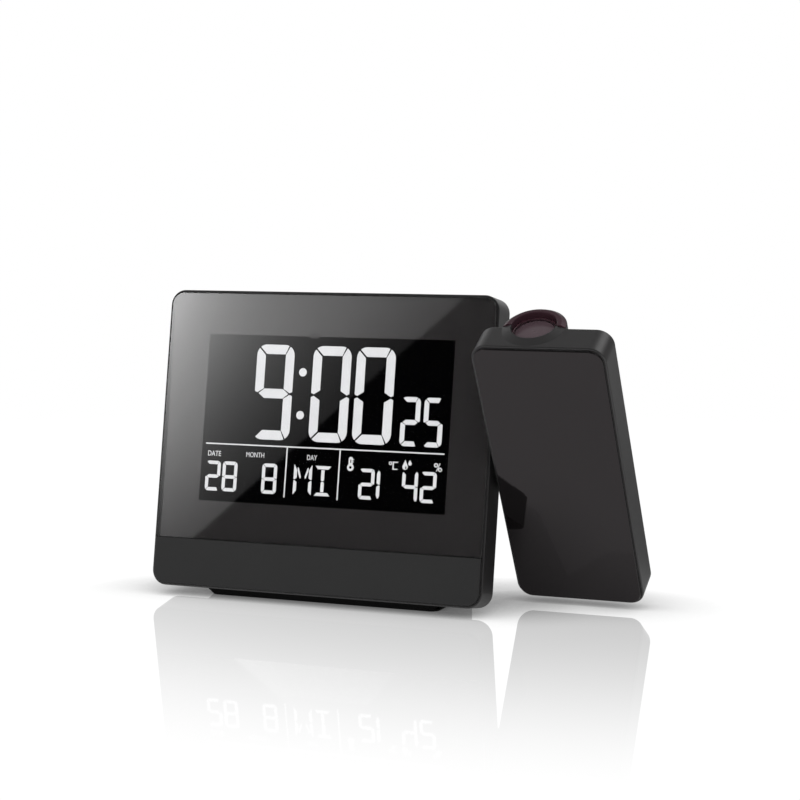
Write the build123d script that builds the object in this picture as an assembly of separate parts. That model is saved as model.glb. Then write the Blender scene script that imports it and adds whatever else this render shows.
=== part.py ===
from build123d import *
import math
import os

# ------------------------------------------------------------------ driving dimensions
# millimetres and degrees. +X right, +Y back, +Z up, origin under the middle of the foot.
FRONT_W = 126.0        # front plates, width
FRONT_H = 106.3        # window and band together, height
BAND_H = 16.5          # lower band
PLATE_T = 2.0          # front plates
CORNER_R = 4.6         # plate corners
RIM = 0.9              # housing stands this far outside the plates
PROUD = 0.9            # plates stand this far in front of the rim
GROOVE = 0.2           # gap round the plates
CASE_D = 12.4          # depth of both flat cases, from the plate face
WALL = 2.0
LEAN = 9.74            # clock face leans back
EDGE_Z = 5.0           # lower edge of the plates above the desk
FRONT_Y = -27.0        # lower edge of the plates
VIEW_U = (-47.65, 48.1)   # display window
VIEW_V = (30.6, 91.3)
FOOT_T = 0.9
HUMP_W = 90.0          # rear stand, width
HUMP_BACK = 19.0
HUMP_KNEE = 22.0
HUMP_TOP_V = 70.0
ARM_X0 = 66.0          # projector arm, left edge of its plate
ARM_W = 44.5
ARM_SHORT = 0.7        # arm ends this much above the clock's lower edge
ARM_TILT = 30.13       # arm leans forwards at rest
HINGE_V = 53.15        # hinge axis, up the case
HINGE_D = 13.74        # hinge axis, behind the plate face
BOSS_R = 10.8
TOWER_R = 12.2
BARREL_X = 84.4        # lens barrel axis
BARREL_D = 12.5
BARREL_R = 11.0
BORE_R = 7.75          # opening in front of the lens
BEZEL_TOP = 108.4
BUTTON_U = {"mode_button": -40.0, "alarm_button": -24.0, "down_button": -8.0, "up_button": 8.0, "flip_button": 24.0}
BUTTON_V = 88.0
SWITCH_U = 42.0

os.makedirs("parts", exist_ok=True)
sl, cl = math.sin(math.radians(LEAN)), math.cos(math.radians(LEAN))
st, ct = math.sin(math.radians(ARM_TILT)), math.cos(math.radians(ARM_TILT))
HY = FRONT_Y + HINGE_V * sl + HINGE_D * cl
HZ = EDGE_Z + HINGE_V * cl - HINGE_D * sl
ARM_Y = HY + HINGE_V * st - HINGE_D * ct
ARM_Z = HZ - HINGE_V * ct - HINGE_D * st
CLOCK = Pos(0, FRONT_Y, EDGE_Z) * Rot(-LEAN, 0, 0)
ARM = Pos(0, ARM_Y, ARM_Z) * Rot(ARM_TILT, 0, 0)


# ------------------------------------------------------------------ helpers
def bx(x0, x1, y0, y1, z0, z1):
    return Pos((x0 + x1) / 2, (y0 + y1) / 2, (z0 + z1) / 2) * Box(x1 - x0, y1 - y0, z1 - z0)


def cyl_x(x0, x1, y, z, r):
    return Pos((x0 + x1) / 2, y, z) * Rot(0, 90, 0) * Cylinder(r, x1 - x0)


def cyl_y(y0, y1, x, z, r):
    return Pos(x, (y0 + y1) / 2, z) * Rot(90, 0, 0) * Cylinder(r, y1 - y0)


def cyl_z(z0, z1, x, y, r):
    return Pos(x, y, (z0 + z1) / 2) * Cylinder(r, z1 - z0)


def slab(sk, d0, d1):
    """a sketch in (x, height), spanning depths d0 to d1"""
    return Plane(origin=(0, d1, 0), x_dir=(1, 0, 0), z_dir=(0, -1, 0)) * extrude(sk, amount=d1 - d0)


def rrect(x0, x1, v0, v1, r):
    return Pos((x0 + x1) / 2, (v0 + v1) / 2) * RectangleRounded(x1 - x0, v1 - v0, r)


def prism_x(pts, x0, x1):
    """a polygon in (y, z), spanning x0 to x1"""
    face = make_face(Polyline(*[(x0, y, z) for y, z in pts], close=True))
    return extrude(face, amount=x1 - x0, dir=(1, 0, 0))


def P(v, d):
    """height and depth in the clock's case to (y, z)"""
    return FRONT_Y + v * sl + d * cl, EDGE_Z + v * cl - d * sl


def depth_of(y, z):
    return (y - FRONT_Y) * cl - (z - EDGE_Z) * sl


def near(shape, d, tol=0.02):
    """edges that lie in the plane at depth d"""
    return ShapeList([e for e in shape.edges() if abs(e.bounding_box().min.Y - d) < tol and abs(e.bounding_box().max.Y - d) < tol])


def outer_edges(shape, d, margin=2.5):
    """edges of the outer outline at depth d"""
    b = shape.bounding_box()
    keep = []
    for e in near(shape, d):
        c = e.bounding_box()
        if c.min.X < b.min.X + margin * 0.02 or c.max.X > b.max.X - margin * 0.02 or c.min.Z < b.min.Z + margin * 0.02 or c.max.Z > b.max.Z - margin * 0.02:
            keep.append(e)
    return ShapeList(keep)


def screw(d_head, d_tip, x, v, rh, rs, head_t):
    """pan-head screw driven along -Y from depth d_head"""
    s = cyl_y(d_head - head_t, d_head, x, v, rh) + cyl_y(d_tip, d_head - head_t, x, v, rs)
    s -= bx(x - rh * .55, x + rh * .55, d_head - .5, d_head + .1, v - .22, v + .22)
    s -= bx(x - .22, x + .22, d_head - .5, d_head + .1, v - rh * .55, v + rh * .55)
    return s


nodes = {}


def put(name, shape, frame=None):
    nodes[name] = frame * shape if frame is not None else shape


# ------------------------------------------------------------------ front plates
split = FRONT_H / 2
plates = slab(rrect(-FRONT_W / 2, FRONT_W / 2, 0, FRONT_H, CORNER_R), 0, PLATE_T)
plates = fillet(near(plates, 0), 0.3)
window = plates & bx(-70, 70, -1, 5, BAND_H + 0.06, 120)
band = plates & bx(-70, 70, -1, 5, -5, BAND_H - 0.06)
put("front_window", window, CLOCK)
put("front_band", band, CLOCK)
mask = slab(rrect(-FRONT_W / 2 + .5, FRONT_W / 2 - .5, .5, FRONT_H - .5, CORNER_R - .5), PLATE_T, PLATE_T + 0.12)
mask &= bx(-70, 70, -1, 5, BAND_H + 0.2, 120)
mask -= bx(VIEW_U[0], VIEW_U[1], 0, 5, VIEW_V[0], VIEW_V[1])
put("window_mask", mask, CLOCK)

# ------------------------------------------------------------------ clock front housing
hx = FRONT_W / 2 + RIM
v_lo, v_hi = -RIM, FRONT_H + RIM
tray = slab(rrect(-hx, hx, v_lo, v_hi, CORNER_R + RIM), PROUD, CASE_D)
tray = fillet(near(tray, PROUD), 0.35)
tray = fillet(near(tray, CASE_D), 0.4)
tray -= slab(rrect(-FRONT_W / 2 - GROOVE, FRONT_W / 2 + GROOVE, -GROOVE, FRONT_H + GROOVE, CORNER_R + GROOVE), PROUD - 1, 2.15)
tray -= slab(rrect(-hx + WALL, hx - WALL, v_lo + WALL, v_hi - WALL, CORNER_R + RIM - WALL), 3.65, CASE_D + 1)
lcd_c = ((VIEW_U[0] + VIEW_U[1]) / 2, (VIEW_V[0] + VIEW_V[1]) / 2)
LW, LH = 101.0, 66.0
tray -= bx(lcd_c[0] - LW / 2 - .3, lcd_c[0] + LW / 2 + .3, 0, 4, lcd_c[1] - LH / 2 - .3, lcd_c[1] + LH / 2 + .3)
case_posts = [(-56.0, 7.5), (56.0, 7.5), (-56.0, 99.0), (56.0, 99.0)]
for x, v in case_posts:
    tray += cyl_y(3.6, 10.8, x, v, 3.0)
ear_posts = [(-57.0, 30.0), (-57.0, 88.0), (57.0, 30.0), (57.0, 88.0)]
for x, v in ear_posts:
    tray += cyl_y(3.6, 5.5, x, v, 2.6)
for x, v in case_posts:
    tray -= cyl_y(4.6, 11, x, v, 1.0)
for x, v in ear_posts:
    tray -= cyl_y(2.9, 6, x, v, 0.8)
tray -= bx(-27.4, 27.4, 4.9, 10.5, 104.5, 109)
tray -= cyl_x(61, 66, HINGE_D, HINGE_V, BOSS_R + 0.12)
put("front_housing", tray, CLOCK)

# ------------------------------------------------------------------ display stack
lcd = bx(lcd_c[0] - LW / 2, lcd_c[0] + LW / 2, 2.3, 4.6, lcd_c[1] - LH / 2 + 2.2, lcd_c[1] + LH / 2)
lcd += bx(lcd_c[0] - LW / 2, lcd_c[0] + LW / 2, 2.3, 3.4, lcd_c[1] - LH / 2, lcd_c[1] - LH / 2 + 2.2)
put("lcd_panel", lcd, CLOCK)
put("lcd_light_guide", bx(lcd_c[0] - LW / 2 + .3, lcd_c[0] + LW / 2 - .3, 4.7, 6.3, lcd_c[1] - LH / 2 + 2.4, lcd_c[1] + LH / 2 - .3), CLOCK)
put("lcd_connector_strip", bx(lcd_c[0] - 46, lcd_c[0] + 46, 3.4, 6.6, lcd_c[1] - LH / 2 + .2, lcd_c[1] - LH / 2 + 2.0), CLOCK)
holder = bx(lcd_c[0] - 53.6, lcd_c[0] + 53.6, 3.7, 6.55, lcd_c[1] - 36, lcd_c[1] + 36)
for x, v in ear_posts:
    holder += bx(min(x - 3 * (x > 0), x - 3) if x < 0 else 50, -50 if x < 0 else x + 3, 5.55, 6.55, v - 3, v + 3)
holder -= bx(lcd_c[0] - LW / 2 - .15, lcd_c[0] + LW / 2 + .15, 3, 8, lcd_c[1] - LH / 2 - .15, lcd_c[1] + LH / 2 + .15)
for x, v in ear_posts:
    holder -= cyl_y(5, 7, x, v, 1.2)
put("lcd_holder", holder, CLOCK)

# ------------------------------------------------------------------ main board
pcb = bx(-60.5, 60.5, 6.6, 7.6, 13, 98)
for x, v in case_posts:
    pcb -= bx(x - 5 if x > 0 else -62, 62 if x > 0 else x + 5, 6, 8, v - 5, v + 5)
pcb -= bx(46, 62, 6, 8, HINGE_V - 13, HINGE_V + 13)
for x, v in ear_posts:
    pcb -= cyl_y(6, 8, x, v, 1.2)
put("main_board", pcb, CLOCK)
chips = bx(-30, -16, 7.6, 9.2, 52, 66) + bx(2, 8, 7.6, 8.9, 60, 68) + bx(-8, -3, 7.6, 8.8, 70, 74) + bx(-48, -40, 7.6, 9.4, 34, 40)
chips += bx(14, 22, 7.6, 9.8, 72, 75)
chips += bx(26, 32, 7.6, 10.6, HINGE_V - 3.5, HINGE_V + 3.5)
chips += cyl_y(7.6, 9.9, -34, 74, 2.5)
put("board_components", chips, CLOCK)
tacts = None
for u in BUTTON_U.values():
    t = bx(u - 2.25, u + 2.25, 7.6, 9.0, BUTTON_V - 2.25, BUTTON_V + 2.25)
    tacts = t if tacts is None else tacts + t
tacts += bx(-3, 3, 7.6, 10.0, 93.6, 97.9) + cyl_z(97.9, 100.4, 0, 8.8, 1.1)
put("tact_switches", tacts, CLOCK)
put("switch_body", bx(SWITCH_U - 2.5, SWITCH_U + 6.5, 7.6, 9.4, BUTTON_V - 2, BUTTON_V + 2), CLOCK)
put("climate_sensor", bx(-56.5, -52.0, 7.6, 9.6, 17.5, 22.0), CLOCK)
fix = None
for x, v in ear_posts:
    s = screw(8.8, 3.3, x, v, 2.0, 0.75, 1.2)
    fix = s if fix is None else fix + s

# ------------------------------------------------------------------ buttons
for name, u in BUTTON_U.items():
    b = cyl_y(10.7, 13.2, u, BUTTON_V, 3.4)
    b = fillet(near(b, 13.2), 0.5)
    b -= Pos(u, 13.2 + 11.7, BUTTON_V) * Sphere(12.0)
    b += cyl_y(9.95, 10.7, u, BUTTON_V, 4.3) + cyl_y(9.5, 9.95, u, BUTTON_V, 1.2)
    put(name, b, CLOCK)
snooze = bx(-27.15, 27.15, 5.15, 10.25, 104.9, 107.36)
snooze = fillet(snooze.edges().filter_by(Axis.Z), 1.2)
snooze = fillet(snooze.faces().sort_by(Axis.Z)[-1].edges(), 0.25)
snooze += bx(-28.3, 28.3, 4.5, 10.75, 103.9, 105.08)
snooze += cyl_z(100.9, 103.9, 0, 8.8, 1.5)
put("snooze_button", snooze, CLOCK)
knob = bx(SWITCH_U - 2.5, SWITCH_U + 2.5, 10.6, 13.0, BUTTON_V - 1.5, BUTTON_V + 1.5)
knob = fillet(knob.edges().filter_by(Axis.Y), 0.4)
for k in (-1.2, 0, 1.2):
    knob -= bx(SWITCH_U + k - .25, SWITCH_U + k + .25, 12.6, 13.5, BUTTON_V - 2, BUTTON_V + 2)
knob += bx(SWITCH_U - 7, SWITCH_U + 7, 9.9, 10.6, BUTTON_V - 2.6, BUTTON_V + 2.6)
put("projection_switch", knob, CLOCK)

# ------------------------------------------------------------------ rear cover and the stand
C = (HUMP_BACK, HUMP_KNEE)
E = P(HUMP_TOP_V, CASE_D)
slen = math.hypot(E[0] - C[0], E[1] - C[1])
tx, tz = (E[0] - C[0]) / slen, (E[1] - C[1]) / slen      # up the slope
nx, nz = tz, -tx                                          # out of the slope
W2 = HUMP_W / 2
E2 = (E[0] + 6 * tx, E[1] + 6 * tz)
hump = prism_x([(-17.6, FOOT_T), (HUMP_BACK, FOOT_T), C, E2, P(3, 8), (-17.6, 4.0)], -W2, W2)
e_long = [e for e in hump.edges().filter_by(Axis.X) if e.center().Y > 15]
hump = fillet(ShapeList([e for e in e_long if e.center().Z > 10]), 5.0)
hump = fillet(ShapeList([e for e in hump.edges().filter_by(Axis.X) if e.center().Y > 15 and e.center().Z < 5]), 1.5)
ends = ShapeList([e for e in hump.edges() if (abs(e.bounding_box().min.X - W2) < .01 or abs(e.bounding_box().max.X + W2) < .01) and abs(e.bounding_box().max.X - e.bounding_box().min.X) < .01 and e.center().Y > -8 and e.center().Z > FOOT_T + .2 and depth_of(e.center().Y, e.center().Z) > CASE_D + .5])
hump = fillet(ends, 3.0)
block = CLOCK * slab(rrect(-hx, hx, v_lo, v_hi, CORNER_R + RIM), -4, CASE_D)
hump -= block
hump -= CLOCK * bx(-80, 80, -5, CASE_D, -20, 130) & bx(-80, 80, -30, 30, 3.0, 130)
panel = slab(rrect(-hx + WALL + .12, hx - WALL - .12, v_lo + WALL + .12, v_hi - WALL - .12, CORNER_R + RIM - WALL), 10.9, CASE_D)
tower = (cyl_x(42, hx, HINGE_D, HINGE_V, TOWER_R) + Pos(42, HINGE_D, HINGE_V) * Sphere(TOWER_R)) & bx(20, 70, CASE_D, 40, 20, 90)
tower = fillet(ShapeList([e for e in tower.edges() if e.center().X > hx - .1 and e.bounding_box().max.Y > CASE_D + 2]), 0.5)
disc = cyl_x(hx - WALL, hx, HINGE_D, HINGE_V, BOSS_R)

# inside of the stand
q0 = (C[0] - 2 * nx, C[1] - 2 * nz)


def on_inner(s):
    return q0[0] + tx * s, q0[1] + tz * s


s_knee = (HUMP_BACK - 2 - q0[0]) / tx
s_top = (10.8 - depth_of(*q0)) / (depth_of(*on_inner(1)) - depth_of(*q0))
inner = prism_x([P(3.5, 10.8), P(3.5, 13.0), (-12.6, 2.9), (HUMP_BACK - 2, 2.9), on_inner(s_knee), on_inner(s_top)], -W2 + 2, W2 - 2)
# lands left in the cover's opening: round the hinge tower, and at the screws that hold the stand
stand_posts = [(-40.3, 9.0), (40.3, 9.0), (-38.0, 58.0), (20.0, 60.0)]
lands = cyl_y(10, 13, 42, HINGE_V, TOWER_R + 1.5)
for x, v in stand_posts:
    lands += cyl_y(10, 13, x, v, 3.6)
lands += bx(-46, -40.3, 10, 13, 5.4, 12.6) + bx(40.3, 46, 10, 13, 5.4, 12.6) + bx(-46, -38, 10, 13, 54.4, 61.6) + bx(16.4, 23.6, 10, 13, 60, 72)
cover = CLOCK * panel - (inner - CLOCK * lands) + CLOCK * tower + CLOCK * disc
cover -= CLOCK * (cyl_x(42, hx - WALL, HINGE_D, HINGE_V, TOWER_R - 2) + Pos(42, HINGE_D, HINGE_V) * Sphere(TOWER_R - 2))
cover -= CLOCK * cyl_x(hx - WALL - 1, hx + 1, HINGE_D, HINGE_V, 6.0)
for x, v in stand_posts:
    cover -= CLOCK * cyl_y(10, 13, x, v, 1.2)
stand = hump - inner
for x, v in stand_posts:
    stand += (CLOCK * cyl_y(CASE_D, 24, x, v, 2.4) & hump) if v > 30 else CLOCK * cyl_y(CASE_D, 16.6, x, v, 2.4)
    if v < 30:
        stand += CLOCK * bx(min(x, x / abs(x) * 43.5), max(x, x / abs(x) * 43.5), CASE_D, 16.6, v - .8, v + .8)
    stand -= CLOCK * cyl_y(CASE_D - 1, 15.9, x, v, 0.85)
stand -= CLOCK * (cyl_x(42, hx + 5, HINGE_D, HINGE_V, TOWER_R + 0.1) + Pos(42, HINGE_D, HINGE_V) * Sphere(TOWER_R + 0.1))

# battery tub, in the slope
mid = (C[0] + tx * (slen / 2 - 8), C[1] + tz * (slen / 2 - 8))
SLOPE = Plane(origin=(0, mid[0], mid[1]), x_dir=(-1, 0, 0), z_dir=(0, nx, nz))
tub = SLOPE * (bx(-28.8, 28.8, -12.9, 12.9, -13.9, -1.5) - bx(-27.6, 27.6, -11.7, 11.7, -12.85, 5))
stand = stand - SLOPE * bx(-27.6, 27.6, -11.7, 11.7, -12.85, 5) + tub
stand -= SLOPE * bx(-29.2, 29.2, -13.4, 13.4, -1.05, 5)
stand -= SLOPE * bx(-4, 4, 13.3, 15.4, -1.05, 5)
# sockets, sound holes, vents
DC_X, DC_Z = 24.0, 10.4
USB_X, USB_Z = 3.0, 9.2
stand -= cyl_y(16, 20, DC_X, DC_Z, 4.4)
stand -= bx(USB_X - 6.75, USB_X + 6.75, 16, 20, USB_Z - 3.05, USB_Z + 3.05)
BZ_X, BZ_Z = -28.0, 11.5
stand -= cyl_y(16, 20, BZ_X, BZ_Z, 0.8)
for k in range(6):
    a = math.radians(60 * k)
    stand -= cyl_y(16, 20, BZ_X + 3 * math.cos(a), BZ_Z + 3 * math.sin(a), 0.8)
for k in range(5):
    cover -= CLOCK * slab(Pos(-54.25, 14 + 3 * k) * SlotOverall(10, 1.2), 10, 13)
for u in BUTTON_U.values():
    cover -= CLOCK * cyl_y(10, 14, u, BUTTON_V, 3.6)
cover -= CLOCK * bx(SWITCH_U - 2.75, SWITCH_U + 6.75, 10, 14, BUTTON_V - 1.7, BUTTON_V + 1.7)
for x, v in case_posts:
    cover -= CLOCK * cyl_y(10, 14, x, v, 1.3)
    cover -= CLOCK * cyl_y(11.5, 14, x, v, 2.6)
# board rests
for x, y in [(-9, -7), (36, -7), (-9, 13), (36, 13)]:
    stand += cyl_z(2.8, 3.4, x, y, 2.2)
for x, y in [(-9, 13), (36, -7)]:
    stand -= cyl_z(1.6, 4, x, y, 0.8)
put("rear_cover", cover)
put("stand_shell", stand)
ss = None
for x, v in stand_posts:
    s = cyl_y(9.95, 10.88, x, v, 2.0) + cyl_y(10.88, 15.6, x, v, 0.8)
    s -= bx(x - 1.1, x + 1.1, 9.9, 10.35, v - .22, v + .22) + bx(x - .22, x + .22, 9.9, 10.35, v - 1.1, v + 1.1)
    ss = s if ss is None else ss + s
put("stand_screws", ss, CLOCK)
# the foot is a shallow tray of rubber whose sides flare up round the bottom of the stand
foot = loft([RectangleRounded(88.4, 35.0, 3.0), Pos(0, 0.05, 2.3) * RectangleRounded(93.0, 37.9, 4.0)], ruled=True)
foot -= bx(-W2, W2, -17.6, HUMP_BACK, FOOT_T, 5)
foot -= bx(-60, 60, 12.0, 30, FOOT_T, 5)
foot -= CLOCK * slab(rrect(-hx - .1, hx + .1, v_lo - .1, v_hi, CORNER_R + RIM), -4, CASE_D + .1)
put("base_pad", foot)

# ------------------------------------------------------------------ battery door, cells, contacts
door = bx(-28.95, 28.95, -13.15, 13.15, -0.95, 0)
door = fillet(ShapeList([e for e in door.edges().filter_by(Axis.Z)]), 0.8)
door += bx(-3.8, 3.8, 13.0, 15.2, -0.95, 0)
for k in range(5):
    door += bx(-6, 6, 5.0 + 1.5 * k, 5.6 + 1.5 * k, -0.1, 0.35)
door += bx(-27.2, 27.2, 10.4, 11.4, -1.9, -0.9) + bx(-27.2, 27.2, -11.4, -10.4, -1.9, -0.9)
put("battery_door", SLOPE * door)
cells = None
CELL_Z = -7.45
for y, s in ((5.7, 1), (-5.7, -1)):
    c = fillet(cyl_x(-22.0, 21.5, y, CELL_Z, 5.2).edges(), 0.5) + cyl_x(21.4, 22.5, y, CELL_Z, 1.9)
    if s < 0:
        c = Rot(0, 0, 180) * Pos(0, -2 * y, 0) * c
    cells = c if cells is None else cells + c
put("aaa_cells", SLOPE * cells)
cont = None
for y, s in ((5.7, 1), (-5.7, -1)):
    plus = bx(22.6, 23.2, y - 3.5, y + 3.5, CELL_Z - 3.5, CELL_Z + 3.5) if s > 0 else bx(-23.2, -22.6, y - 3.5, y + 3.5, CELL_Z - 3.5, CELL_Z + 3.5)
    plus += bx(23.2, 27.55, y - 3.5, y + 3.5, CELL_Z - 3.5, CELL_Z - 2.9) if s > 0 else bx(-27.55, -23.2, y - 3.5, y + 3.5, CELL_Z - 3.5, CELL_Z - 2.9)
    e0 = -27.5 if s > 0 else 27.5
    sg = 1 if s > 0 else -1
    pl = bx(min(e0, e0 + sg * .4), max(e0, e0 + sg * .4), y - 4, y + 4, CELL_Z - 4, CELL_Z + 4)
    r0, pitch, n = 3.2, 1.5, 3
    h = Helix(pitch=pitch, height=pitch * n, radius=r0, cone_angle=-14)
    prof = Plane(origin=h @ 0, z_dir=h % 0) * Circle(0.3)
    coil = sweep(prof, path=h, is_frenet=True)
    coil = Pos(e0 + sg * .62, y, CELL_Z) * Rot(0, 90 * sg, 0) * coil
    cont = plus + pl + coil if cont is None else cont + plus + pl + coil
put("battery_contacts", SLOPE * cont)

# ------------------------------------------------------------------ parts in the stand
pb = bx(-12, 40, -10, 16.8, 3.4, 4.6)
for x, y in [(-9, 13), (36, -7)]:
    pb -= cyl_z(3, 5, x, y, 1.1)
put("power_board", pb)
for x, y in [(-9, 13), (36, -7)]:
    fix += CLOCK.inverse() * (cyl_z(4.6, 5.6, x, y, 1.9) + cyl_z(1.8, 4.6, x, y, 0.75))
put("board_screws", fix, CLOCK)
dc = bx(DC_X - 4.5, DC_X + 4.5, 4.6, 16.9, 4.6, 15.6) + cyl_y(16.8, 18.9, DC_X, DC_Z, 4.2)
dc -= cyl_y(9.0, 20, DC_X, DC_Z, 2.9)
dc += cyl_y(8.9, 17.9, DC_X, DC_Z, 1.0)
put("dc_inlet_socket", dc)
usb = bx(USB_X - 6.55, USB_X + 6.55, 5.0, 18.9, USB_Z - 2.85, USB_Z + 2.85)
usb -= bx(USB_X - 6.2, USB_X + 6.2, 7.0, 20, USB_Z - 2.5, USB_Z + 2.5)
usb += bx(USB_X - 5.5, USB_X + 5.5, 6.9, 17.0, USB_Z + .25, USB_Z + 2.1)
usb += bx(USB_X - 6.0, USB_X + 6.0, 6.0, 15.0, 4.6, USB_Z - 2.8)
put("usb_charge_socket", usb)
put("buzzer", cyl_y(9.6, 16.9, BZ_X, BZ_Z, 7.5) - cyl_y(16.0, 17.5, BZ_X, BZ_Z, 1.4))
put("receiver_ferrite_rod", fillet(cyl_x(-36, 20, -6, 11.0, 4.0).edges(), 0.4))
coil = cyl_x(-32, -8, -6, 11.0, 5.0) - cyl_x(-33, -7, -6, 11.0, 4.05)
for x in (-32, -8):
    coil += cyl_x(x - .6, x + .6, -6, 11.0, 5.7) - cyl_x(x - 2, x + 2, -6, 11.0, 4.05)
put("receiver_coil", coil)
put("receiver_board", bx(21, 33.6, -9.6, -8.6, 7, 17) + bx(24, 30, -8.6, -7.2, 9, 14) + bx(22, 32, -9.6, -8.6, 4.6, 7))

# ------------------------------------------------------------------ hinge
bush = cyl_x(hx - 3.5, hx + .1, HINGE_D, HINGE_V, 5.98) + cyl_x(hx - 3.5, hx - WALL, HINGE_D, HINGE_V, 7.6)
bush -= cyl_x(hx - 5, hx + 2, HINGE_D, HINGE_V, 4.55)
put("hinge_bush", bush, CLOCK)
washer = cyl_x(hx - 4.5, hx - 3.55, HINGE_D, HINGE_V, 7.0) - cyl_x(hx - 6, hx, HINGE_D, HINGE_V, 4.62)
washer -= cyl_x(hx - 4.6, hx - 4.2, HINGE_D, HINGE_V + 9, 4.5) + cyl_x(hx - 4.6, hx - 4.2, HINGE_D, HINGE_V - 9, 4.5)
put("hinge_spring_washer", washer, CLOCK)

AXL = ARM_X0 - RIM                    # left side of the arm
AXR = ARM_X0 + ARM_W + RIM
AV0, AV1 = ARM_SHORT - RIM, FRONT_H + RIM
shaft = cyl_x(hx - 7.5, AXL + 5.0, HINGE_D, HINGE_V, 4.5) + cyl_x(AXL + WALL, AXL + 3.6, HINGE_D, HINGE_V, 8.0)
shaft -= cyl_x(0, 100, HINGE_D, HINGE_V, 3.0)
shaft -= cyl_x(hx - 5.8, hx - 4.9, HINGE_D, HINGE_V, 6) - cyl_x(hx - 7, hx - 4, HINGE_D, HINGE_V, 3.9)
put("hinge_shaft", shaft, ARM)
clip = cyl_x(hx - 5.75, hx - 4.95, HINGE_D, HINGE_V, 6.6) - cyl_x(hx - 7, hx - 4, HINGE_D, HINGE_V, 3.92)
clip -= bx(hx - 7, hx - 4, HINGE_D - 2.2, HINGE_D + 2.2, HINGE_V - 8, HINGE_V)
put("hinge_clip", clip, ARM)


def cable(pts, radii, r=1.2):
    path = FilletPolyline(*pts, radius=radii)
    return sweep(Plane(origin=path @ 0, z_dir=path % 0) * Circle(r), path=path)


put("clock_cable", cable([(32, 9.3, HINGE_V), (38.5, 9.3, HINGE_V), (46, HINGE_D, HINGE_V), (62, HINGE_D, HINGE_V)], [9.0, 9.0]), CLOCK)
put("projector_cable", cable([(62, HINGE_D, HINGE_V), (69.5, HINGE_D, HINGE_V), (73.8, HINGE_D, HINGE_V + 1.7), (77.4, HINGE_D, HINGE_V + 1.7)], [7.0, 7.0]), ARM)

# ------------------------------------------------------------------ projector arm
aplate = slab(rrect(ARM_X0, ARM_X0 + ARM_W, ARM_SHORT, FRONT_H, CORNER_R), 0, PLATE_T)
aplate = fillet(near(aplate, 0), 0.3)
put("projector_front_plate", aplate, ARM)
atray = slab(rrect(AXL, AXR, AV0, AV1, CORNER_R + RIM), PROUD, CASE_D)
atray = fillet(near(atray, PROUD), 0.5)
atray = fillet(near(atray, CASE_D), 0.4)
atray -= slab(rrect(ARM_X0 - GROOVE, ARM_X0 + ARM_W + GROOVE, ARM_SHORT - GROOVE, FRONT_H + GROOVE, CORNER_R + GROOVE), PROUD - 1, 2.15)
atray -= slab(rrect(AXL + 1.8, AXR - 1.8, AV0 + 1.8, AV1 - 1.8, CORNER_R + RIM - 1.8), 3.4, CASE_D + 1)
arm_posts = [(AXL + 5.2, AV0 + 5.2), (AXR - 5.2, AV0 + 5.2), (AXL + 5.2, AV1 - 5.2), (AXR - 5.2, AV1 - 5.2)]
for x, v in arm_posts:
    atray += cyl_y(3.3, 10.8, x, v, 2.6)
for x, v in arm_posts:
    atray -= cyl_y(4.6, 11, x, v, 0.9)
# the front half of the collar is a low swell moulded in the tray's end wall
swell = revolve(Plane.XZ * make_face(Polyline((5, 105.5), (10.9, 105.5), (10.9, 107.2), (8.05, 108.18), (7.85, 108.25), (5, 108.25), close=True)), Axis.Z)
atray += Pos(BARREL_X, BARREL_D, 0) * swell & bx(60, 120, PROUD + .3, CASE_D, 100, 112)
atray -= cyl_z(98.8, 110, BARREL_X, BARREL_D, BORE_R)
atray -= cyl_z(98.8, AV1 - 1.8, BARREL_X, BARREL_D, 9.5)
atray -= cyl_x(AXL - 1, AXL + WALL, HINGE_D, HINGE_V, BOSS_R + 0.12)
put("projector_housing", atray, ARM)

apanel = slab(rrect(AXL + 1.92, AXR - 1.92, AV0 + 1.92, AV1 - 1.92, CORNER_R + RIM - 1.9), 10.9, CASE_D)
half = bx(60, 120, CASE_D, 60, -20, 130)
barrel = cyl_z(HINGE_V, AV1, BARREL_X, BARREL_D, BARREL_R) & half
barrel = fillet(ShapeList([e for e in barrel.edges() if e.center().Z > AV1 - .05 and e.bounding_box().max.Y > CASE_D + 3]), 0.3)
elbow = (Pos(BARREL_X, HINGE_D, HINGE_V) * Sphere(TOWER_R)) & half
atower = cyl_x(AXL, BARREL_X, HINGE_D, HINGE_V, TOWER_R) & half
atower = fillet(ShapeList([e for e in atower.edges() if e.center().X < AXL + .1 and e.bounding_box().max.Y > CASE_D + 2]), 0.5)
aboss = cyl_x(hx + 0.2, AXL + WALL, HINGE_D, HINGE_V, BOSS_R)
back = apanel + barrel + elbow + atower + aboss
back -= cyl_z(HINGE_V, AV1 - 1.8, BARREL_X, BARREL_D, BARREL_R - 1.4)
back -= cyl_z(AV1 - 3, AV1 + 1, BARREL_X, BARREL_D, 9.5)
back -= Pos(BARREL_X, HINGE_D, HINGE_V) * Sphere(TOWER_R - 1.5)
back -= cyl_x(AXL + WALL, BARREL_X, HINGE_D, HINGE_V, TOWER_R - 1.5)
back -= cyl_x(60, AXL + WALL + 1, HINGE_D, HINGE_V, 4.52)
for x, v in arm_posts:
    back -= cyl_y(10, 14, x, v, 1.2)
    back -= cyl_y(11.5, 14, x, v, 2.3)
put("projector_back_cover", back, ARM)

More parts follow.
